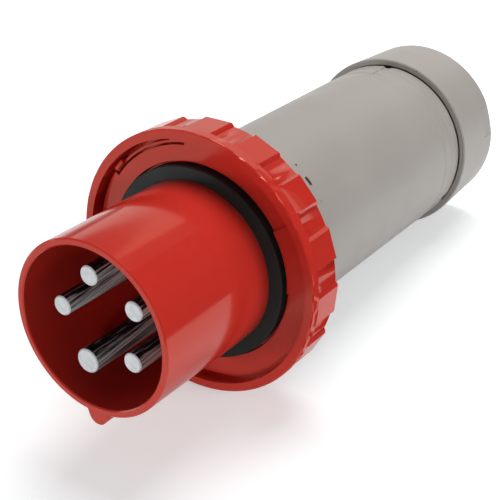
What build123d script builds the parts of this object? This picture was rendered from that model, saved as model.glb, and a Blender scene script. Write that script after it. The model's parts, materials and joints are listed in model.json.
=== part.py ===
from build123d import *
from math import atan2, cos, degrees, radians, sin, tan
import os

# Industrial pin and sleeve plug, five poles, lying on its locking ring and its gland nut.
# Millimetres. A depth is measured from the mouth of the sleeve, along the plug, to the rear.
# Angles turn counter-clockwise seen from the front, from the plug's right hand side.

# Sleeve with its base, flange, ring seat and spigot
sleeve_r = 35.5
sleeve_wall = 2.9
mouth_bevel = 0.5
cutter_reach = 1.0
cavity_draft = 0.4
flange_front = 68.0
floor_ahead = 8.0
base_behind = 2.0
flange_thickness = 4.0
flange_step = 3.6
seat_length = 5.0
seat_step = 1.5
spigot_gap = 0.3
spigot_wall = 4.0
spigot_length = 23.0

# Key on the outside of the sleeve
key_angle = 272.3
key_rise = 4.75
key_round = 4.2
key_root_half = 5.0
key_stop = 2.0

# Face seal against the socket
seal_inset = 0.4
seal_thickness = 5.2
seal_bevel = 0.4
seal_stretch = 0.05

# Locking ring with its grip pads
ring_step = 16.4
ring_ahead = 6.4
ring_behind = 3.5
ring_gap = 0.3
band_width = 4.2
rim_wall = 3.8
valley_drop = 1.6
pad_count = 15
pad_drop = 0.45
pad_flank = 1.1
pad_bevel = 0.5
pad_root = 0.3
web_drop = 4.6
web_thickness = 3.8
hub_gap = 0.9
hub_width = 2.9

# Bayonet in the ring: entry slot, detent tongue with its bead, raised field and ramp
track_count = 2
slot_start = 97.5
tongue_root = 105.5
tongue_end = 144.0
entry_start = 146.0
entry_end = 173.0
entry_width = 1.6
outer_slot_width = 1.9
tongue_width = 0.9
inner_slot_width = 1.0
bead_angle = 140.2
bead_length = 6.4
bead_width = 2.0
bead_height = 1.7
bead_round = 0.8
bead_out = 1.7
field_start = -2.0
field_sweep = 35.0
field_height = 0.9
ramp_sweep = 50.0
ramp_low = 0.4
ramp_rise = 2.4

# Handle
handle_step = 4.3
handle_wall = 3.0
handle_length = 145.3
handle_bevel = 1.8
handle_bevel_drop = 0.7
neck_recess = 2.8
shoulder_thickness = 4.5
shoulder_bore_r = 28.0
groove_offsets = (17.3, 9.3)
groove_width = 4.0
groove_drop = 0.35
end_step_offset = 19.3
end_step_drop = 0.15
latch_angle = 46.0
latch_behind = 2.8
latch_length = 4.4
latch_height = 1.6
latch_finger_width = 7.0
latch_finger_end = 3.0
latch_hook_drop = 1.6
dimple_angle = 58.0
dimple_behind = 3.6
dimple_r = 0.55
dimple_drop = 0.6
pip_angle = 32.0
pip_behind = 3.4
pip_root = 0.5
pip_height = 0.7
notch_angle = 90.4
notch_count = 3
notch_r = 3.2
notch_drop = 2.2
channel_offset = 18.0
channel_width = 3.4
channel_drop = 0.3

# Seal between spigot and handle
oring_behind = 7.0
oring_groove_drop = 2.1
oring_groove_width = 3.0
oring_gap = 0.02

# Gland neck, gland nut and what the nut clamps
neck_step = 4.8
neck_wall = 3.2
neck_length = 23.7
neck_gap = 0.1
nut_gap = 0.3
nut_length = 35.0
nut_front_step = 2.6
nut_rear_step = 1.0
nut_mouth_wall = 1.4
nut_mouth_depth = 4.4
nut_wall_rear = 6.6
nut_thread_gap = 3.7
nut_recess_angle = 15.6
nut_recess_count = 3
nut_recess_width = 15.0
nut_recess_drop = 0.8
nut_recess_length = 9.0
nut_recess_reach = 4.0
nut_bevel = 0.8
nut_tooth_angle = 330.6
nut_tooth_sweep = 2.6
nut_tooth_height = 0.8
nut_dot_angle = 71.0
nut_dot_r = 0.45
cable_hole_r = 18.5
cable_seal_length = 14.0
seal_cone = 6.0
seal_cone_length = 3.0
collet_length = 11.5
collet_fingers = 12
collet_slot = 1.6
collet_gap = 0.3
collet_band = 2.0
collet_web = 1.0
collet_bore_gap = 1.0
collet_finger = 4.5
collet_finger_tip = 3.0
pressure_gap = 1.0
pressure_land = 1.8

# Contacts: a name, its angle, its pitch radius and its pin radius
line_pitch_r = 18.6
line_pin_r = 4.0
earth_pitch_r = 20.3
earth_pin_r = 5.0
contacts = [
    ("l1", 320.0, line_pitch_r, line_pin_r),
    ("l2", 32.0, line_pitch_r, line_pin_r),
    ("l3", 104.0, line_pitch_r, line_pin_r),
    ("neutral", 176.0, line_pitch_r, line_pin_r),
    ("earth", 248.0, earth_pitch_r, earth_pin_r),
]
pin_tip = 5.9
pin_bevel = 0.45
root_extra = 0.6
collar_extra = 3.2
collar_length = 3.0
terminal_extra = 2.2
terminal_length = 34.0
conductor_bore_r = 3.6
conductor_bore_length = 22.0
terminal_screw_r = 2.0
terminal_screw_proud = 1.2
terminal_screw_root = 1.0
terminal_screw_offsets = (17.0, 26.0)
screw_slot_width = 0.8
screw_slot_depth = 0.8

# Carrier that holds the contacts to the base
carrier_thickness = 10.0
carrier_gap = 0.2
hole_gap = 0.15
partition_length = 26.0
partition_thickness = 2.0
partition_hub_r = 7.0
partition_reach = 30.0
screw_angles = (68.0, 284.0)
screw_pitch_r = 26.0
screw_r = 2.0
screw_head_r = 3.6
screw_head_length = 2.4
screw_depth = 6.0
screw_fit = 0.05

# Radii that follow from the sleeve, outwards
handle_r = sleeve_r + handle_step
handle_bore_r = handle_r - handle_wall
spigot_r = handle_bore_r - spigot_gap
spigot_bore_r = spigot_r - spigot_wall
oring_groove_r = spigot_r - oring_groove_drop
seat_r = spigot_r + seat_step
flange_r = seat_r + flange_step
seal_r = flange_r - seal_inset
key_top_r = sleeve_r + key_rise
hub_bore_r = seal_r + hub_gap
hub_r = hub_bore_r + hub_width
band_r = handle_r + ring_step
valley_r = band_r - valley_drop
pad_flat = band_r - pad_drop
pad_half_width = pad_flat * tan(radians(90 / pad_count))
rim_inner_r = band_r - rim_wall
entry_inner_r = rim_inner_r - entry_width
tongue_outer_r = rim_inner_r - outer_slot_width
tongue_inner_r = tongue_outer_r - tongue_width
web_edge_r = tongue_inner_r - inner_slot_width
neck_r = handle_r - neck_step
neck_bore_r = neck_r - neck_wall
nut_front_r = handle_r + nut_front_step
nut_rear_r = handle_r + nut_rear_step
nut_mouth_r = nut_front_r - nut_mouth_wall
thread_bore_r = neck_r + nut_thread_gap

# Depths that follow from the flange and the handle's length
seal_front = flange_front - seal_thickness
cavity_floor = flange_front - floor_ahead
key_end = cavity_floor - key_stop
base_rear = flange_front + base_behind
flange_rear = flange_front + flange_thickness
seat_rear = flange_rear + seat_length
spigot_rear = seat_rear + spigot_length
latch_depth = spigot_rear + latch_behind
oring_depth = seat_rear + oring_behind
ring_front = flange_front - ring_ahead
ring_rear = seat_rear + ring_behind
web_front = ring_front + web_drop
web_rear = web_front + web_thickness
handle_end = seat_rear + handle_length
shoulder_rear = handle_end - neck_recess
shoulder_depth = shoulder_rear - shoulder_thickness
neck_end = handle_end + neck_length
nut_front = handle_end + nut_gap
nut_rear = nut_front + nut_length
nut_floor = nut_rear - nut_wall_rear
terminal_end = base_rear + terminal_length
carrier_rear = base_rear + carrier_thickness
partition_rear = carrier_rear + partition_length

# The plug lies on the edges of two grip pads, with a gap between them, and on the nut's rear edge.
# Pads and gaps have the same width, so those edges lie as low as a flat would.
rest_pad_depth = ring_rear - pad_bevel
rest_nut_depth = nut_rear - nut_bevel
tilt = atan2(pad_flat - nut_rear_r, rest_nut_depth - rest_pad_depth)
mouth_height = rest_pad_depth * sin(tilt) + pad_flat * cos(tilt)
rear = Vector(0, cos(tilt), -sin(tilt))
key_drop = (key_top_r - key_round) * sin(radians(key_angle)) - key_round
front_reach = key_drop * sin(tilt)
rear_reach = nut_rear * cos(tilt) + (nut_rear_r - nut_bevel) * sin(tilt)
mouth = Vector(0, -(front_reach + rear_reach) / 2, mouth_height)

front_plane = Plane(origin=mouth, x_dir=(1, 0, 0), z_dir=rear * -1)
profile = Plane(origin=mouth, x_dir=(1, 0, 0), z_dir=front_plane.y_dir)
plug_axis = Axis(mouth, rear)


def at(depth):
    """Plane across the plug at a depth, with its normal towards the front."""
    return front_plane.offset(-depth)


def turned(*outline, mode=Mode.ADD):
    """Turn an outline of (radius, depth) points about the plug's axis."""
    with BuildSketch(profile) as section:
        Polygon(*outline)
    revolve(section.sketch, axis=plug_axis, mode=mode)


def polar(radius, angle):
    """A point across the plug, from its radius and angle."""
    return (radius * cos(radians(angle)), radius * sin(radians(angle)))


def sector(inner_r, outer_r, start, sweep):
    """Ring sector in the sketch being drawn, with arcs for its two round sides."""
    with BuildLine() as outline:
        CenterArc((0, 0), outer_r, start, sweep)
        CenterArc((0, 0), inner_r, start, sweep)
        Line(polar(inner_r, start), polar(outer_r, start))
        Line(polar(inner_r, start + sweep), polar(outer_r, start + sweep))
    make_face(outline.edges())


def radial_plane(angle, radius, depth):
    """Plane that looks outwards from the plug's axis, with its x along the plug."""
    out = front_plane.x_dir * cos(radians(angle)) + front_plane.y_dir * sin(radians(angle))
    return Plane(origin=mouth + out * radius + rear * depth, x_dir=rear, z_dir=out)


# Front moulding: sleeve, base wall, flange, ring seat and spigot in one piece
mouth_inner_r = sleeve_r - sleeve_wall
floor_r = mouth_inner_r - cavity_draft

with BuildPart() as shroud:
    turned(
        (mouth_inner_r + mouth_bevel, 0),
        (sleeve_r - mouth_bevel, 0),
        (sleeve_r, mouth_bevel),
        (sleeve_r, flange_front),
        (flange_r, flange_front),
        (flange_r, flange_rear),
        (seat_r, flange_rear),
        (seat_r, seat_rear),
        (spigot_r, seat_rear),
        (spigot_r, spigot_rear - mouth_bevel),
        (spigot_r - mouth_bevel, spigot_rear),
        (spigot_bore_r, spigot_rear),
        (spigot_bore_r, base_rear),
        (0, base_rear),
        (0, cavity_floor),
        (floor_r, cavity_floor),
        (mouth_inner_r, mouth_bevel),
    )
    turned(
        (oring_groove_r, oring_depth - oring_groove_width / 2),
        (spigot_r + cutter_reach, oring_depth - oring_groove_width / 2),
        (spigot_r + cutter_reach, oring_depth + oring_groove_width / 2),
        (oring_groove_r, oring_depth + oring_groove_width / 2),
        mode=Mode.SUBTRACT,
    )
    with BuildSketch(at(0)):
        with Locations(polar(key_top_r - key_round, key_angle)):
            Circle(key_round)
        with PolarLocations(0, 1, start_angle=key_angle):
            Polygon(
                (sleeve_r - sleeve_wall / 2, -key_root_half),
                (key_top_r - key_round + 1, -key_round),
                (key_top_r - key_round + 1, key_round),
                (sleeve_r - sleeve_wall / 2, key_root_half),
            )
        Circle(sleeve_r - sleeve_wall / 2, mode=Mode.SUBTRACT)
    extrude(amount=-key_end)
    for name, angle, pitch_r, pin_r in contacts:
        with BuildSketch(at(cavity_floor)):
            with Locations(polar(pitch_r, angle)):
                Circle(pin_r + root_extra + hole_gap)
        extrude(amount=-(base_rear - cavity_floor), mode=Mode.SUBTRACT)
    for angle in screw_angles:
        with BuildSketch(at(base_rear)):
            with Locations(polar(screw_pitch_r, angle)):
                Circle(screw_r + screw_fit)
        extrude(amount=screw_depth, mode=Mode.SUBTRACT)
    # Latch finger that snaps into the slot of the handle
    finger_sweep = degrees(latch_finger_width / spigot_r)
    with BuildSketch(at(spigot_rear)):
        sector(spigot_bore_r, spigot_r, latch_angle - finger_sweep / 2, finger_sweep)
    extrude(amount=-(latch_behind + latch_finger_end))
    hook_sweep = degrees((latch_length - latch_height) / handle_r)
    with BuildSketch(at(latch_depth - latch_height / 2 + hole_gap)):
        sector(spigot_bore_r, handle_r - latch_hook_drop, latch_angle - hook_sweep / 2, hook_sweep)
    extrude(amount=-(latch_height - 2 * hole_gap))

shroud.part.label = "shroud"

with BuildPart() as face_seal:
    turned(
        (sleeve_r + seal_stretch, seal_front),
        (seal_r - seal_bevel, seal_front),
        (seal_r, seal_front + seal_bevel),
        (seal_r, flange_front),
        (sleeve_r + seal_stretch, flange_front),
    )

face_seal.part.label = "face_seal"

# One bayonet ramp behind the web: a ring sector cut off by a slanted plane
ramp_inner_r = entry_inner_r - ring_gap
ramp_root_r = rim_inner_r + pad_root
ramp_chord = 2 * rim_inner_r * sin(radians(ramp_sweep / 2))
ramp_slope = degrees(atan2(ramp_rise, ramp_chord))
ramp_centre = radial_plane(entry_end + ramp_sweep / 2, rim_inner_r, web_rear + ramp_low + ramp_rise / 2)
ramp_face = Plane(
    origin=ramp_centre.origin,
    x_dir=ramp_centre.z_dir,
    z_dir=Vector(rear * -1).rotate(Axis((0, 0, 0), ramp_centre.z_dir), ramp_slope),
)

with BuildPart() as ramp:
    with BuildSketch(at(web_rear - ramp_low)):
        sector(ramp_inner_r, ramp_root_r, entry_end, ramp_sweep)
    extrude(amount=-(2 * ramp_low + ramp_rise))
    split(bisect_by=ramp_face, keep=Keep.TOP)

# Locking ring, turned about the plug: rim, web, hub and rear lip, then pads and the bayonet
lip_bore_r = seat_r + ring_gap
lip_front = flange_rear + ring_gap
lip_rear = seat_rear - ring_gap
bead_r = rim_inner_r - bead_out

with BuildPart() as locking_ring:
    turned(
        (rim_inner_r, ring_front),
        (band_r - mouth_bevel, ring_front),
        (band_r, ring_front + mouth_bevel),
        (band_r, ring_front + band_width),
        (valley_r, ring_front + band_width),
        (valley_r, ring_rear),
        (rim_inner_r, ring_rear),
        (rim_inner_r, web_rear),
        (hub_r, web_rear),
        (hub_r, lip_rear),
        (lip_bore_r, lip_rear),
        (lip_bore_r, lip_front),
        (hub_bore_r, lip_front),
        (hub_bore_r, web_front),
        (rim_inner_r, web_front),
    )
    with BuildSketch(at(ring_front + band_width)):
        with PolarLocations(0, pad_count, start_angle=270 + 180 / pad_count):
            Polygon(
                (rim_inner_r + pad_root, -pad_half_width - pad_flank),
                (valley_r - pad_root, -pad_half_width - pad_flank),
                (pad_flat, -pad_half_width),
                (pad_flat, pad_half_width),
                (valley_r - pad_root, pad_half_width + pad_flank),
                (rim_inner_r + pad_root, pad_half_width + pad_flank),
            )
    extrude(amount=-(ring_rear - ring_front - band_width))
    top_edges = [
        edge
        for edge in locking_ring.edges().filter_by(GeomType.LINE)
        if abs((edge.center() - mouth).dot(rear) - ring_rear) < 0.01
        and abs(edge.length - 2 * pad_half_width) < 0.01
    ]
    chamfer(top_edges, pad_bevel)
    for index in range(track_count):
        turn = index * 360 / track_count
        with BuildSketch(at(web_front)):
            sector(hub_bore_r, rim_inner_r + pad_root, field_start + turn, field_sweep)
        extrude(amount=field_height)
        add(ramp.part.rotate(plug_axis, -turn))
        with BuildSketch(at(web_front)):
            sector(web_edge_r, tongue_inner_r, slot_start + turn, entry_start - slot_start)
        extrude(amount=-web_thickness, mode=Mode.SUBTRACT)
        with BuildSketch(at(web_front)):
            sector(tongue_outer_r, rim_inner_r, tongue_root + turn, tongue_end - tongue_root)
        extrude(amount=-web_thickness, mode=Mode.SUBTRACT)
        with BuildSketch(at(web_front)):
            sector(web_edge_r, rim_inner_r, tongue_end + turn, entry_start - tongue_end)
        extrude(amount=-web_thickness, mode=Mode.SUBTRACT)
        with BuildSketch(at(web_front)):
            sector(entry_inner_r, rim_inner_r, entry_start + turn, entry_end - entry_start)
        extrude(amount=-web_thickness, mode=Mode.SUBTRACT)
        with BuildSketch(at(web_front - bead_height)):
            with Locations(Location(polar(bead_r, bead_angle + turn), bead_angle + turn + 90)):
                SlotOverall(bead_length, bead_width)
        extrude(amount=-(bead_height + bead_round))
    bead_edges = [
        edge
        for edge in locking_ring.edges()
        if abs((edge.center() - mouth).dot(rear) - (web_front - bead_height)) < 0.01
    ]
    fillet(bead_edges, bead_round)

locking_ring.part.label = "locking_ring"

# Handle: a plain tube with a shoulder for the cable seal and a recess for the gland neck
groove_r = handle_r - end_step_drop - groove_drop

with BuildPart() as handle_shell:
    turned(
        (handle_bore_r, seat_rear),
        (handle_r - mouth_bevel, seat_rear),
        (handle_r, seat_rear + mouth_bevel),
        (handle_r, handle_end - end_step_offset),
        (handle_r - end_step_drop, handle_end - end_step_offset),
        (handle_r - end_step_drop, handle_end - handle_bevel),
        (handle_r - handle_bevel_drop, handle_end),
        (neck_r + neck_gap, handle_end),
        (neck_r + neck_gap, shoulder_rear),
        (shoulder_bore_r, shoulder_rear),
        (shoulder_bore_r, shoulder_depth),
        (handle_bore_r, shoulder_depth),
    )
    for offset in groove_offsets:
        turned(
            (groove_r, handle_end - offset),
            (handle_r + cutter_reach, handle_end - offset),
            (handle_r + cutter_reach, handle_end - offset + groove_width),
            (groove_r, handle_end - offset + groove_width),
            mode=Mode.SUBTRACT,
        )
    with BuildSketch(radial_plane(latch_angle, 0, latch_depth)):
        SlotOverall(latch_length, latch_height, rotation=90)
    extrude(amount=handle_r + cutter_reach, mode=Mode.SUBTRACT)
    with BuildSketch(radial_plane(dimple_angle, handle_r - dimple_drop, spigot_rear + dimple_behind)):
        Circle(dimple_r)
    extrude(amount=dimple_drop + cutter_reach, mode=Mode.SUBTRACT)
    with BuildSketch(radial_plane(pip_angle, handle_r - pip_root, spigot_rear + pip_behind)):
        Circle(dimple_r)
    extrude(amount=pip_height)
    for index in range(notch_count):
        angle = notch_angle + index * 360 / notch_count
        with BuildSketch(radial_plane(angle, handle_r - notch_drop, handle_end)):
            Circle(notch_r)
        extrude(amount=notch_drop + cutter_reach, mode=Mode.SUBTRACT)
        with BuildSketch(radial_plane(angle, handle_r - end_step_drop - channel_drop, handle_end)):
            Rectangle(2 * channel_offset, channel_width)
        extrude(amount=channel_drop + cutter_reach, mode=Mode.SUBTRACT)

handle_shell.part.label = "handle_shell"

oring_centre_r = (oring_groove_r + handle_bore_r) / 2
with BuildPart() as handle_seal:
    with BuildSketch(profile) as oring_section:
        with Locations((oring_centre_r, oring_depth)):
            Circle((handle_bore_r - oring_groove_r) / 2 - oring_gap)
    revolve(oring_section.sketch, axis=plug_axis)

handle_seal.part.label = "handle_seal"

# Neck for the gland nut, fixed in the end of the handle
with BuildPart() as gland_neck:
    turned(
        (neck_bore_r, shoulder_rear),
        (neck_r, shoulder_rear),
        (neck_r, neck_end - mouth_bevel),
        (neck_r - mouth_bevel, neck_end),
        (neck_bore_r, neck_end),
    )

gland_neck.part.label = "gland_neck"

# Pins with collar and terminal barrel, each turned about its own axis
pins = {}
terminal_screws = {}
for name, angle, pitch_r, pin_r in contacts:
    centre = polar(pitch_r, angle)
    collar_r = pin_r + collar_extra
    terminal_r = pin_r + terminal_extra
    with BuildPart() as pin:
        with BuildSketch(at(pin_tip)):
            with Locations(centre):
                Circle(pin_r)
        extrude(amount=-(cavity_floor - pin_tip))
        tip_edges = pin.edges().filter_by(GeomType.CIRCLE).sort_by(plug_axis)
        chamfer(tip_edges[0], pin_bevel)
        with BuildSketch(at(cavity_floor)):
            with Locations(centre):
                Circle(pin_r + root_extra)
        extrude(amount=-(base_rear - cavity_floor))
        with BuildSketch(at(base_rear)):
            with Locations(centre):
                Circle(collar_r)
        extrude(amount=-collar_length)
        with BuildSketch(at(base_rear + collar_length)):
            with Locations(centre):
                Circle(terminal_r)
        extrude(amount=-(terminal_end - base_rear - collar_length))
        with BuildSketch(at(terminal_end)):
            with Locations(centre):
                Circle(conductor_bore_r)
        extrude(amount=conductor_bore_length, mode=Mode.SUBTRACT)
        for offset in terminal_screw_offsets:
            with BuildSketch(radial_plane(angle, pitch_r, base_rear + offset)):
                Circle(terminal_screw_r + screw_fit)
            extrude(amount=terminal_r + cutter_reach, mode=Mode.SUBTRACT)
    pin.part.label = "pin_" + name
    pins[name] = pin.part
    with BuildPart() as screws:
        for offset in terminal_screw_offsets:
            depth = base_rear + offset
            screw_start = pitch_r + conductor_bore_r - terminal_screw_root
            screw_end = pitch_r + terminal_r + terminal_screw_proud
            with BuildSketch(radial_plane(angle, screw_start, depth)):
                Circle(terminal_screw_r)
            extrude(amount=screw_end - screw_start)
            with BuildSketch(radial_plane(angle, screw_end, depth)):
                Rectangle(2 * terminal_screw_r, screw_slot_width)
            extrude(amount=-screw_slot_depth, mode=Mode.SUBTRACT)
    screws.part.label = "terminal_screws_" + name
    terminal_screws[name] = screws.part

# Carrier behind the base wall, with a star of partitions between the terminals
with BuildPart() as contact_carrier:
    with BuildSketch(at(base_rear)):
        Circle(spigot_bore_r - carrier_gap)
    extrude(amount=-(carrier_rear - base_rear))
    with BuildSketch(at(carrier_rear)):
        Circle(partition_hub_r)
        for index, (name, angle, pitch_r, pin_r) in enumerate(contacts):
            next_angle = contacts[(index + 1) % len(contacts)][1]
            middle = angle + ((next_angle - angle) % 360) / 2
            with PolarLocations(0, 1, start_angle=middle):
                with Locations((partition_reach / 2, 0)):
                    Rectangle(partition_reach, partition_thickness)
    extrude(amount=-(partition_rear - carrier_rear))
    for name, angle, pitch_r, pin_r in contacts:
        with BuildSketch(at(base_rear)):
            with Locations(polar(pitch_r, angle)):
                Circle(pin_r + collar_extra + hole_gap)
        extrude(amount=-collar_length, mode=Mode.SUBTRACT)
        with BuildSketch(at(base_rear)):
            with Locations(polar(pitch_r, angle)):
                Circle(pin_r + terminal_extra + hole_gap)
        extrude(amount=-(partition_rear - base_rear), mode=Mode.SUBTRACT)
    for angle in screw_angles:
        with BuildSketch(at(base_rear)):
            with Locations(polar(screw_pitch_r, angle)):
                Circle(screw_r + hole_gap)
        extrude(amount=-(carrier_rear - base_rear), mode=Mode.SUBTRACT)
        with BuildSketch(at(carrier_rear)):
            with Locations(polar(screw_pitch_r, angle)):
                Circle(screw_head_r + hole_gap)
        extrude(amount=-(partition_rear - carrier_rear), mode=Mode.SUBTRACT)

contact_carrier.part.label = "contact_carrier"

with BuildPart() as carrier_screws:
    for angle in screw_angles:
        with BuildSketch(at(carrier_rear)):
            with Locations(polar(screw_pitch_r, angle)):
                Circle(screw_r)
        extrude(amount=carrier_rear - base_rear + screw_depth)
        with BuildSketch(at(carrier_rear)):
            with Locations(polar(screw_pitch_r, angle)):
                Circle(screw_head_r)
        extrude(amount=-screw_head_length)
        with BuildSketch(at(carrier_rear + screw_head_length)):
            with Locations(polar(screw_pitch_r, angle)):
                Rectangle(2 * screw_head_r, screw_slot_width)
        extrude(amount=screw_slot_depth, mode=Mode.SUBTRACT)

carrier_screws.part.label = "carrier_screws"

# Cable seal, clamping collet and pressure ring inside the neck
seal_end = shoulder_rear + cable_seal_length
seal_outer_r = neck_bore_r - carrier_gap

with BuildPart() as cable_seal:
    turned(
        (cable_hole_r, shoulder_rear),
        (seal_outer_r, shoulder_rear),
        (seal_outer_r, seal_end - seal_cone_length),
        (seal_outer_r - seal_cone, seal_end),
        (cable_hole_r, seal_end),
    )

cable_seal.part.label = "cable_seal"

collet_end = seal_end + collet_length
pressure_front = collet_end + collet_gap

collet_band_end = seal_end + collet_band
collet_bore_r = cable_hole_r + collet_bore_gap
collet_tip_r = collet_bore_r + collet_finger
collet_root_r = seal_outer_r - seal_cone
pressure_r = seal_outer_r - pressure_gap
pressure_cone_r = pressure_r - pressure_land
cone_slope = (collet_end - collet_band_end) / (seal_outer_r - collet_tip_r)
pressure_cone = cone_slope * (pressure_cone_r - collet_tip_r)

with BuildPart() as clamp_collet:
    turned(
        (collet_root_r, seal_end),
        (seal_outer_r, seal_end - seal_cone_length),
        (seal_outer_r, collet_band_end),
        (collet_tip_r, collet_end),
        (collet_bore_r, collet_end),
        (collet_bore_r, collet_end - collet_finger_tip),
        (collet_root_r, collet_band_end),
    )
    slot_depth = collet_end - collet_band_end - collet_web
    with BuildSketch(at(collet_end)):
        with PolarLocations(neck_bore_r / 2, collet_fingers):
            Rectangle(neck_bore_r, collet_slot)
    extrude(amount=slot_depth, mode=Mode.SUBTRACT)

clamp_collet.part.label = "clamp_collet"

with BuildPart() as pressure_ring:
    turned(
        (collet_bore_r, pressure_front),
        (collet_tip_r, pressure_front),
        (pressure_cone_r, pressure_front - pressure_cone),
        (pressure_r, pressure_front - pressure_cone),
        (pressure_r, nut_floor),
        (collet_bore_r, nut_floor),
    )

pressure_ring.part.label = "pressure_ring"

# Gland nut: a cup over the gland neck, with the cable opening in its floor
with BuildPart() as gland_nut:
    turned(
        (nut_mouth_r, nut_front),
        (nut_front_r - mouth_bevel, nut_front),
        (nut_front_r, nut_front + mouth_bevel),
        (nut_rear_r, rest_nut_depth),
        (nut_rear_r - nut_bevel, nut_rear),
        (cable_hole_r + nut_bevel, nut_rear),
        (cable_hole_r, nut_rear - nut_bevel),
        (cable_hole_r, nut_floor),
        (thread_bore_r, nut_floor),
        (thread_bore_r, nut_front + nut_mouth_depth),
        (nut_mouth_r, nut_front + nut_mouth_depth),
    )
    for index in range(nut_recess_count):
        angle = nut_recess_angle + index * 360 / nut_recess_count
        with BuildSketch(radial_plane(angle, nut_rear_r - nut_recess_drop, nut_rear)):
            Rectangle(2 * nut_recess_length, nut_recess_width)
        extrude(amount=nut_recess_reach, mode=Mode.SUBTRACT)
    # Ratchet tooth inside the mouth, and a moulding dot in the front edge
    with BuildSketch(at(nut_front + mouth_bevel)):
        sector(nut_mouth_r - nut_tooth_height, nut_mouth_r + mouth_bevel, nut_tooth_angle, nut_tooth_sweep)
    extrude(amount=-(nut_mouth_depth - mouth_bevel))
    with BuildSketch(at(nut_front)):
        with Locations(polar(nut_mouth_r + nut_mouth_wall / 2, nut_dot_angle)):
            Circle(nut_dot_r)
    extrude(amount=-nut_dot_r, mode=Mode.SUBTRACT)

gland_nut.part.label = "gland_nut"

# Write one file for each piece
pieces = [
    shroud.part,
    face_seal.part,
    locking_ring.part,
    handle_shell.part,
    handle_seal.part,
    gland_neck.part,
    contact_carrier.part,
    carrier_screws.part,
    cable_seal.part,
    clamp_collet.part,
    pressure_ring.part,
    gland_nut.part,
]
pieces += list(pins.values()) + list(terminal_screws.values())

os.makedirs("parts", exist_ok=True)
for piece in pieces:
    export_step(piece, "parts/" + piece.label + ".step")
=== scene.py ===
import json
from math import cos, radians, sin

import bmesh
import bpy
from mathutils import Matrix, Vector


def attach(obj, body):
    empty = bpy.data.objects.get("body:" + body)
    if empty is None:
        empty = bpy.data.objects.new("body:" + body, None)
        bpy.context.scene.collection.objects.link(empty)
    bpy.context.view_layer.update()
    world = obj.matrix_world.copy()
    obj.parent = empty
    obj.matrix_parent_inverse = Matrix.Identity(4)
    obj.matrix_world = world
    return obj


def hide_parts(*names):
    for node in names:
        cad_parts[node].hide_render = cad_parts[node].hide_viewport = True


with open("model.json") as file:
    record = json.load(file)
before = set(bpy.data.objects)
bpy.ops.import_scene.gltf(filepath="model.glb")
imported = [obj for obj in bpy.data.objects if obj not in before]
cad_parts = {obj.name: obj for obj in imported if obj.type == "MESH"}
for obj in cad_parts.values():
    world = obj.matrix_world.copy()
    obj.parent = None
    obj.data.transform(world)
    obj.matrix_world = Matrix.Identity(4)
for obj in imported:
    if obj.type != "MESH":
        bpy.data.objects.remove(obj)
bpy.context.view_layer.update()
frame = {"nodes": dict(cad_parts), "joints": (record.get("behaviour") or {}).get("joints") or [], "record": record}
nodes = frame["nodes"]
record = frame["record"]

# The plug's sizes are in millimetres and become metres with MM
# Floor, card and lamps are in metres, and colours are linear
MM = 0.001

# Plug axes: mouth centre and the way to the rear from the frame, then right and up across the plug
joints = {joint["name"]: joint for joint in frame["joints"]}
mounts = {mount["name"]: mount for mount in record["mounts"]}
body_of = {node: body for body, names in record["behaviour"]["bodies"].items() for node in names}
mouth = Vector(mounts["sleeve"]["pos_m"])
rear = Vector(joints["locking_ring_turn"]["axis"]).normalized()
right = Vector((1, 0, 0))
up = right.cross(rear)


def place(radius, angle, depth):
    """Point at a distance from the plug's axis, an angle in degrees and a depth from the mouth."""
    across = right * cos(radians(angle)) + up * sin(radians(angle))
    return mouth + (across * radius + rear * depth) * MM


# Camera: its place and its aim in the plug's own axes, as fitted to the photograph's round edges
camera_right = 251.0
camera_up = 215.6
camera_front = 267.3
aim_right = 5.0
aim_up = -5.56
aim_depth = 94.72
camera_roll = radians(-2.84)
lens_mm = 84.47
sensor_mm = 36.0


def add_camera():
    """Camera at the photograph's viewing angle."""
    data = bpy.data.cameras.new("camera")
    data.lens = lens_mm
    data.sensor_width = sensor_mm
    data.clip_start = 0.01
    data.clip_end = 20
    camera = bpy.data.objects.new("camera", data)
    bpy.context.scene.collection.objects.link(camera)
    spot = mouth + (right * camera_right + up * camera_up - rear * camera_front) * MM
    aim = mouth + (right * aim_right + up * aim_up + rear * aim_depth) * MM
    turn = (aim - spot).to_track_quat("-Z", "Y").to_matrix() @ Matrix.Rotation(camera_roll, 3, "Z")
    camera.matrix_world = Matrix.Translation(spot) @ turn.to_4x4()
    bpy.context.scene.camera = camera


# Building blocks of the materials
noise_low = 0.3
noise_high = 0.7


def new_material(name):
    """Material with a Principled shader alone; returns it with its node tree and its shader."""
    material = bpy.data.materials.new(name)
    material.use_nodes = True
    tree = material.node_tree
    tree.nodes.clear()
    shader = tree.nodes.new("ShaderNodeBsdfPrincipled")
    output = tree.nodes.new("ShaderNodeOutputMaterial")
    tree.links.new(shader.outputs["BSDF"], output.inputs["Surface"])
    return material, tree, shader


def noise(tree, scale, detail, stretch=(1, 1, 1)):
    """Noise in the object's own coordinates, stretched along its axes."""
    coordinates = tree.nodes.new("ShaderNodeTexCoord")
    mapping = tree.nodes.new("ShaderNodeMapping")
    mapping.inputs["Scale"].default_value = stretch
    tree.links.new(coordinates.outputs["Object"], mapping.inputs["Vector"])
    texture = tree.nodes.new("ShaderNodeTexNoise")
    texture.inputs["Scale"].default_value = scale
    texture.inputs["Detail"].default_value = detail
    tree.links.new(mapping.outputs["Vector"], texture.inputs["Vector"])
    return texture.outputs["Fac"]


def shaded(tree, value, colours, start=noise_low, end=noise_high):
    """Colour that goes from the first to the second of two as a value goes from start to end."""
    band = tree.nodes.new("ShaderNodeValToRGB")
    for stop, position, colour in zip(band.color_ramp.elements, (start, end), colours):
        stop.position = position
        stop.color = (*colour, 1)
    tree.links.new(value, band.inputs["Fac"])
    return band.outputs["Color"]


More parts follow.
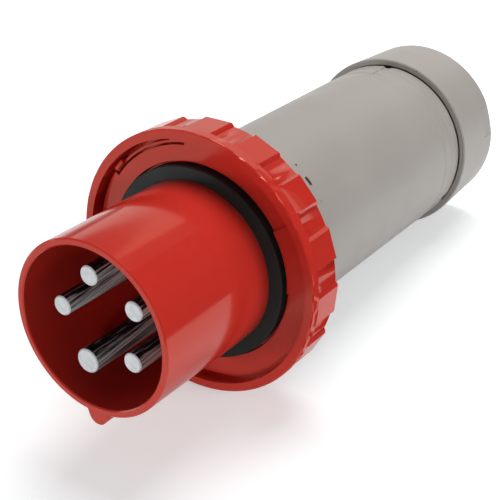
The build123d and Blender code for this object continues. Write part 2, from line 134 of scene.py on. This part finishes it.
def remapped(tree, value, results=(0.0, 1.0), start=noise_low, end=noise_high):
    """Number that goes from the first to the second of two as a value goes from start to end."""
    scale = tree.nodes.new("ShaderNodeMapRange")
    scale.inputs["From Min"].default_value = start
    scale.inputs["From Max"].default_value = end
    scale.inputs["To Min"].default_value = results[0]
    scale.inputs["To Max"].default_value = results[1]
    tree.links.new(value, scale.inputs["Value"])
    return scale.outputs["Result"]


def calculated(tree, operation, first, second):
    """Result of a calculation with a value and a second value or number."""
    step = tree.nodes.new("ShaderNodeMath")
    step.operation = operation
    tree.links.new(first, step.inputs[0])
    if isinstance(second, float):
        step.inputs[1].default_value = second
    else:
        tree.links.new(second, step.inputs[1])
    return step.outputs["Value"]


def towards(tree, source, direction):
    """How far a vector points in a direction."""
    along = tree.nodes.new("ShaderNodeVectorMath")
    along.operation = "DOT_PRODUCT"
    along.inputs[1].default_value = direction
    tree.links.new(source, along.inputs[0])
    return along.outputs["Value"]


def mixed(tree, share, first, second):
    """Colour that goes from a first to a second with a share."""
    mix = tree.nodes.new("ShaderNodeMix")
    mix.data_type = "RGBA"
    # The colour sockets share their names with others, so they go by their places
    colour_a = mix.inputs[6]
    colour_b = mix.inputs[7]
    result = mix.outputs[2]
    tree.links.new(share, mix.inputs["Factor"])
    tree.links.new(first, colour_a)
    tree.links.new(second, colour_b)
    return result


def add_relief(tree, shader, value, strength, distance_mm):
    """Fine relief on the shader from a value."""
    relief = tree.nodes.new("ShaderNodeBump")
    relief.inputs["Strength"].default_value = strength
    relief.inputs["Distance"].default_value = distance_mm * MM
    tree.links.new(value, relief.inputs["Height"])
    tree.links.new(relief.outputs["Normal"], shader.inputs["Normal"])


# Materials
def plastic(name, colours, roughness, grain_mm, grain_depth_mm, specular=0.5, tint=(1, 1, 1)):
    """Moulded plastic or rubber: slight colour drift, uneven gloss and a fine grain."""
    drift_scale = 18
    gloss_scale = 60
    grain_scale = 1 / (grain_mm * MM)
    material, tree, shader = new_material(name)
    drift = noise(tree, drift_scale, detail=3)
    tree.links.new(shaded(tree, drift, colours), shader.inputs["Base Color"])
    gloss = noise(tree, gloss_scale, detail=4)
    tree.links.new(remapped(tree, gloss, roughness), shader.inputs["Roughness"])
    grain = noise(tree, grain_scale, detail=2)
    add_relief(tree, shader, grain, strength=0.25, distance_mm=grain_depth_mm)
    shader.inputs["IOR"].default_value = 1.5
    shader.inputs["Specular IOR Level"].default_value = specular
    shader.inputs["Specular Tint"].default_value = (*tint, 1)
    return material


def plated_metal(name, colours, roughness):
    """Plated metal with fine marks all over."""
    mark_scale = 900
    material, tree, shader = new_material(name)
    shader.inputs["Metallic"].default_value = 1.0
    marks = noise(tree, mark_scale, detail=3)
    tree.links.new(shaded(tree, marks, colours), shader.inputs["Base Color"])
    tree.links.new(remapped(tree, marks, roughness), shader.inputs["Roughness"])
    add_relief(tree, shader, marks, strength=0.15, distance_mm=0.02)
    return material


def pin_metal(name):
    """Nickel with bright ends, and sides painted dark as shade, with lengthwise wear marks and a painted sheen on
    one side.
    """
    # The sides' dark colour is painted shade; their pale colour shows where the wear marks and the painted sheen
    # add up
    side_colours = ((0.012, 0.013, 0.014), (0.74, 0.86, 0.86))
    tip_colours = ((0.58, 0.6, 0.61), (0.72, 0.74, 0.75))
    roughness = (0.3, 0.42)
    mark_scale = 1100
    mark_stretch = (1, 0.012, 1)
    tip_scale = 450
    # Painted sheen: the pins' sides that face right and a little down are painted lighter
    sheen_angle = radians(-8)
    sheen_side = right * cos(sheen_angle) + up * sin(sheen_angle)
    sheen_lift = 0.2

    material, tree, shader = new_material(name)
    shader.inputs["Metallic"].default_value = 0.2
    shader.inputs["Specular IOR Level"].default_value = 0.2
    normal = tree.nodes.new("ShaderNodeNewGeometry").outputs["Normal"]
    marks = noise(tree, mark_scale, detail=4, stretch=mark_stretch)
    tip = remapped(tree, towards(tree, normal, -rear), start=0.3, end=0.6)
    # Painted sheen, lighter where a side faces right and a little down
    painted_sheen = remapped(tree, towards(tree, normal, sheen_side), start=0.25, end=0.85)
    level = calculated(tree, "ADD", marks, calculated(tree, "MULTIPLY", painted_sheen, sheen_lift))
    side_colour = shaded(tree, level, side_colours, start=0.58, end=0.78)
    tip_colour = shaded(tree, noise(tree, tip_scale, detail=2), tip_colours)
    # Ends take the nickel's own colour and sides the painted shade, by the way each face points
    tree.links.new(mixed(tree, tip, side_colour, tip_colour), shader.inputs["Base Color"])

    side_marks = calculated(tree, "SUBTRACT", marks, tip)
    side_relief = remapped(tree, side_marks, start=0.0, end=1.0)
    tree.links.new(remapped(tree, side_relief, roughness), shader.inputs["Roughness"])
    add_relief(tree, shader, side_relief, strength=0.08, distance_mm=0.01)
    return material


finishes = {
    "red_plastic": plastic(
        "red_plastic",
        colours=((0.47, 0.024, 0.016), (0.515, 0.029, 0.02)),
        roughness=(0.1, 0.15),
        grain_mm=0.35,
        grain_depth_mm=0.008,
        specular=0.8,
        tint=(1.0, 0.52, 0.36),
    ),
    "grey_plastic": plastic(
        "grey_plastic",
        colours=((0.322, 0.294, 0.272), (0.346, 0.316, 0.292)),
        roughness=(0.34, 0.44),
        grain_mm=0.3,
        grain_depth_mm=0.015,
    ),
    "carrier_plastic": plastic(
        "carrier_plastic",
        colours=((0.015, 0.015, 0.017), (0.022, 0.022, 0.024)),
        roughness=(0.4, 0.5),
        grain_mm=0.4,
        grain_depth_mm=0.02,
    ),
    "seal_rubber": plastic(
        "seal_rubber",
        colours=((0.009, 0.013, 0.012), (0.013, 0.018, 0.017)),
        roughness=(0.5, 0.6),
        grain_mm=0.5,
        grain_depth_mm=0.02,
        specular=0.3,
    ),
    "pin_metal": pin_metal("pin_metal"),
    "zinc_steel": plated_metal(
        "zinc_steel",
        colours=((0.5, 0.5, 0.5), (0.6, 0.6, 0.6)),
        roughness=(0.25, 0.35),
    ),
}


def dress(piece, slot):
    """Gives an object the finish of a material slot."""
    piece.data.materials.clear()
    piece.data.materials.append(finishes[slot])


for part in record["subparts"]:
    dress(nodes[part["node"]], part["material_slot"])


# Rounded edges
weld_mm = 0.002
sharp_angle = radians(25)


def weld(piece):
    """Joins the doubled points of a CAD mesh."""
    joined = piece.modifiers.new("weld", "WELD")
    joined.merge_threshold = weld_mm * MM


def soften(piece, width_mm):
    """Rounds an object's sharp edges."""
    weld(piece)
    bevel = piece.modifiers.new("bevel", "BEVEL")
    bevel.width = width_mm * MM
    bevel.segments = 2
    bevel.limit_method = "ANGLE"
    bevel.angle_limit = sharp_angle
    bevel.use_clamp_overlap = True
    normals = piece.modifiers.new("normals", "WEIGHTED_NORMAL")
    normals.keep_sharp = True


for node_name, edge_mm in (("handle_shell", 0.2), ("gland_nut", 0.3), ("shroud", 0.25)):
    soften(nodes[node_name], edge_mm)


# Pieces that stand beside or for CAD nodes
def closed_mesh(name, verts, faces):
    """Mesh object with its faces turned outwards."""
    mesh = bpy.data.meshes.new(name)
    mesh.from_pydata(verts, [], faces)
    shape = bmesh.new()
    shape.from_mesh(mesh)
    bmesh.ops.recalc_face_normals(shape, faces=shape.faces)
    shape.to_mesh(mesh)
    shape.free()
    piece = bpy.data.objects.new(name, mesh)
    bpy.context.scene.collection.objects.link(piece)
    return piece


def join_to(piece, node, slot):
    """Lets a new piece move with the body of a node and take its finish from a slot."""
    dress(piece, slot)
    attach(piece, body_of[node])


def swept(rows):
    """Closed bodies, each through a row of outlines that have equally many points."""
    verts = []
    faces = []
    for outlines in rows:
        base = len(verts)
        count = len(outlines[0])
        for outline in outlines:
            verts.extend(outline)
        for step in range(len(outlines) - 1):
            a = base + step * count
            for side in range(count):
                after = (side + 1) % count
                faces.append((a + side, a + after, a + count + after, a + count + side))
        faces.append(tuple(base + side for side in range(count)))
        last = base + (len(outlines) - 1) * count
        faces.append(tuple(last + side for side in range(count)))
    return verts, faces


def arc(outline, start, end, steps):
    """Row of outlines: (radius, depth) points turned round the plug's axis between two angles."""
    turns = [start + (end - start) * step / steps for step in range(steps + 1)]
    return [[place(r, turn, depth) for r, depth in outline] for turn in turns]


def sector(name, inner_r, outer_r, start, end, front, back):
    """Closed block between two radii, two angles and two depths."""
    outline = ((inner_r, front), (outer_r, front), (outer_r, back), (inner_r, back))
    return closed_mesh(name, *swept([arc(outline, start, end, int(end - start))]))


def finished_ring():
    """Locking ring with its hollows closed behind and its plain second slot."""
    # Radii, angles and depths of the blocks that are added or cut away
    chamber_back = (45.3, 52.9, 94.0, 176.0, 70.6, 71.9)
    field_back = (48.2, 52.9, 276.0, 355.0, 66.195, 70.01)
    second_slot = (49.2, 52.2, 314.0, 326.5, 63.5, 66.19)
    second_ramp = (50.4, 52.5, 258.0, 326.0, 66.0, 69.2)
    edge_mm = 0.25

    piece = bpy.data.objects.new("ring_finished", nodes["locking_ring"].data.copy())
    bpy.context.scene.collection.objects.link(piece)
    weld(piece)
    steps = (
        ("UNION", chamber_back),
        ("UNION", field_back),
        ("DIFFERENCE", second_slot),
        ("DIFFERENCE", second_ramp),
    )
    blocks = []
    for index, (operation, limits) in enumerate(steps):
        block = sector("block_%d" % index, *limits)
        cut = piece.modifiers.new("cut_%d" % index, "BOOLEAN")
        cut.operation = operation
        cut.solver = "EXACT"
        cut.object = block
        blocks.append(block)
    graph = bpy.context.evaluated_depsgraph_get()
    mesh = bpy.data.meshes.new_from_object(piece.evaluated_get(graph))
    piece.modifiers.clear()
    piece.data = mesh
    for block in blocks:
        bpy.data.objects.remove(block)
    join_to(piece, "locking_ring", "red_plastic")
    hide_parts("locking_ring")
    soften(piece, edge_mm)


def nut_lip():
    """Thin rim inside the nut's front edge, which narrows the gap to the handle."""
    inner_r = 39.5
    outer_r = 41.3
    front = 222.62
    back = 224.2
    front_slope_r = 0.2
    front_slope_depth = 0.28
    back_slope = 0.4
    steps = 144
    outline = (
        (inner_r, front + front_slope_depth),
        (inner_r + front_slope_r, front),
        (outer_r, front),
        (outer_r, back),
        (inner_r + back_slope, back),
        (inner_r, back - back_slope),
    )
    count = len(outline)
    verts = [place(r, step * 360 / steps, depth) for step in range(steps) for r, depth in outline]
    faces = []
    for step in range(steps):
        here = step * count
        there = (step + 1) % steps * count
        for side in range(count):
            after = (side + 1) % count
            faces.append((here + side, here + after, there + after, there + side))
    join_to(closed_mesh("nut_lip", verts, faces), "gland_nut", "grey_plastic")


def groove_slopes():
    """Soft slopes at the walls of the handle's two end grooves, open at the three channels."""
    walls = ((205.0, 1), (209.0, -1), (213.0, 1), (217.0, -1))
    land_r = 39.645
    floor_r = 39.31
    root_r = 39.2
    run = 1.6
    tuck = 0.1
    channels = 3
    channel_angle = 90.4
    channel_half = 2.6
    steps = 40
    spacing = 360 / channels
    rows = []
    for wall, way in walls:
        outline = (
            (root_r, wall - way * tuck),
            (land_r, wall),
            (floor_r, wall + way * run),
            (root_r, wall + way * (run + tuck)),
        )
        for channel in range(channels):
            first = channel_angle + spacing * channel + channel_half
            rows.append(arc(outline, first, first + spacing - 2 * channel_half, steps))
    join_to(closed_mesh("groove_slopes", *swept(rows)), "handle_shell", "grey_plastic")


def thread(name, node, root_r, crest_r, first, last, start_angle):
    """Right-hand screw thread on a round wall, from its first to its last depth."""
    pitch = 3.0
    half_root = 1.0
    half_crest = 0.4
    steps_per_turn = 72
    fade_steps = 12
    steps = int((last - first) / pitch * steps_per_turn)
    outlines = []
    for step in range(steps + 1):
        angle = start_angle + step * 360 / steps_per_turn
        depth = last - step * pitch / steps_per_turn
        full = min(1.0, (step + 1) / fade_steps, (steps - step + 1) / fade_steps)
        crest = root_r + (crest_r - root_r) * full
        outlines.append([
            place(root_r, angle, depth - half_root),
            place(crest, angle, depth - half_crest),
            place(crest, angle, depth + half_crest),
            place(root_r, angle, depth + half_root),
        ])
    join_to(closed_mesh(name, *swept([outlines])), node, "grey_plastic")


finished_ring()
nut_lip()
groove_slopes()
thread(
    "neck_thread",
    "gland_neck",
    root_r=34.95,
    crest_r=36.7,
    first=225.0,
    last=244.6,
    start_angle=0.0,
)
thread(
    "nut_thread",
    "gland_nut",
    root_r=38.75,
    crest_r=37.0,
    first=229.2,
    last=248.8,
    start_angle=180.0,
)


# Floor, card and world
floor_half = 6.0
floor_colour = (0.77, 0.80, 0.81)
floor_lift = 0.40
gloss_lift = 0.14
flag_x = 0.21
flag_front = -0.6
flag_back = 0.9
flag_height = 0.7
flag_colour = (0.01, 0.01, 0.01)
world_colour = (0.95, 0.97, 1)
world_level = 0.17


def flat_face(name, corners):
    """One flat face from its corners."""
    mesh = bpy.data.meshes.new(name)
    mesh.from_pydata(corners, [], [tuple(range(len(corners)))])
    piece = bpy.data.objects.new(name, mesh)
    bpy.context.scene.collection.objects.link(piece)
    return piece


def matte(name, colour, roughness):
    """Material with no gloss; returns it with its node tree and its shader."""
    material, tree, shader = new_material(name)
    shader.inputs["Base Color"].default_value = (*colour, 1)
    shader.inputs["Roughness"].default_value = roughness
    shader.inputs["Specular IOR Level"].default_value = 0.0
    return material, tree, shader


def add_floor():
    """Plain pale floor, white for the camera away from the shadow."""
    signs = ((-1, -1), (1, -1), (1, 1), (-1, 1))
    floor = flat_face("floor", [(x * floor_half, y * floor_half, 0) for x, y in signs])
    material, tree, shader = matte("floor", floor_colour, roughness=0.9)
    rays = tree.nodes.new("ShaderNodeLightPath").outputs
    seen = calculated(tree, "MULTIPLY", rays["Is Camera Ray"], floor_lift)
    mirrored = calculated(tree, "MULTIPLY", rays["Is Glossy Ray"], gloss_lift)
    shader.inputs["Emission Color"].default_value = (1, 1, 1, 1)
    tree.links.new(calculated(tree, "ADD", seen, mirrored), shader.inputs["Emission Strength"])
    floor.data.materials.append(material)


def add_flag():
    """Black card to the right, which only gloss sees."""
    near = (flag_x, flag_front)
    far = (flag_x, flag_back)
    flag = flat_face("flag", [(*near, 0), (*far, 0), (*far, flag_height), (*near, flag_height)])
    material, _, _ = matte("flag", flag_colour, roughness=1.0)
    flag.data.materials.append(material)
    flag.visible_camera = False
    flag.visible_diffuse = False
    flag.visible_shadow = False
    flag.visible_transmission = False


def add_world():
    """White for the camera, a plain pale grey light for everything else."""
    world = bpy.data.worlds.new("world")
    bpy.context.scene.world = world
    world.use_nodes = True
    tree = world.node_tree
    tree.nodes.clear()
    path = tree.nodes.new("ShaderNodeLightPath")
    seen = tree.nodes.new("ShaderNodeBackground")
    seen.inputs["Color"].default_value = (1, 1, 1, 1)
    seen.inputs["Strength"].default_value = 1.0
    ambient = tree.nodes.new("ShaderNodeBackground")
    ambient.inputs["Color"].default_value = (*world_colour, 1)
    ambient.inputs["Strength"].default_value = world_level
    mix = tree.nodes.new("ShaderNodeMixShader")
    output = tree.nodes.new("ShaderNodeOutputWorld")
    tree.links.new(path.outputs["Is Camera Ray"], mix.inputs["Fac"])
    tree.links.new(ambient.outputs["Background"], mix.inputs[1])
    tree.links.new(seen.outputs["Background"], mix.inputs[2])
    tree.links.new(mix.outputs["Shader"], output.inputs["Surface"])


# Lamps
def add_lamp(name, spot, facing, side, size, power, colour=(1, 1, 1)):
    """Rectangular area lamp: its spot, the way it shines and the way its first side runs."""
    data = bpy.data.lights.new(name, "AREA")
    data.shape = "RECTANGLE"
    data.size, data.size_y = size
    data.energy = power
    data.color = colour
    lamp = bpy.data.objects.new(name, data)
    bpy.context.scene.collection.objects.link(lamp)
    z_axis = -Vector(facing).normalized()
    y_axis = z_axis.cross(Vector(side)).normalized()
    x_axis = y_axis.cross(z_axis)
    turn = Matrix((x_axis, y_axis, z_axis)).transposed()
    lamp.matrix_world = Matrix.Translation(Vector(spot)) @ turn.to_4x4()


add_camera()
add_floor()
add_flag()
add_world()
add_lamp(
    "overhead",
    spot=(-0.1, 0.35, 1.15),
    facing=(0.08, -0.33, -1.0),
    side=(1, 0, 0),
    size=(1.0, 0.6),
    power=12.0,
)
add_lamp(
    "back_left",
    spot=(-0.3, 0.88, 0.32),
    facing=(0.48, -0.70, -0.41),
    side=(0.764, 0.153, 0.627),
    size=(1.0, 0.8),
    power=1.8,
    colour=(1.0, 0.94, 0.84),
)
add_lamp(
    "front",
    spot=(-0.35, -1.25, 0.1),
    facing=(0.35, 1.1, -0.03),
    side=(1, 0.3, 0),
    size=(0.2, 0.1),
    power=3.5,
)
add_lamp(
    "front_right",
    spot=(0.42, -1.2, 0.3),
    facing=(-0.42, 1.07, -0.23),
    side=(1, 0.4, 0),
    size=(0.1, 0.1),
    power=2.6,
)
add_lamp(
    "front_left",
    spot=(-0.95, -0.55, 0.2),
    facing=(0.95, 0.45, -0.14),
    side=(0.4, -0.9, 0),
    size=(0.7, 0.4),
    power=1.4,
)
add_lamp(
    "right",
    spot=(1.0, 0.06, 0.32),
    facing=(-1.0, -0.08, -0.25),
    side=(0, 1, 0),
    size=(0.4, 0.5),
    power=5.0,
)

bpy.context.scene.view_settings.view_transform = "Standard"
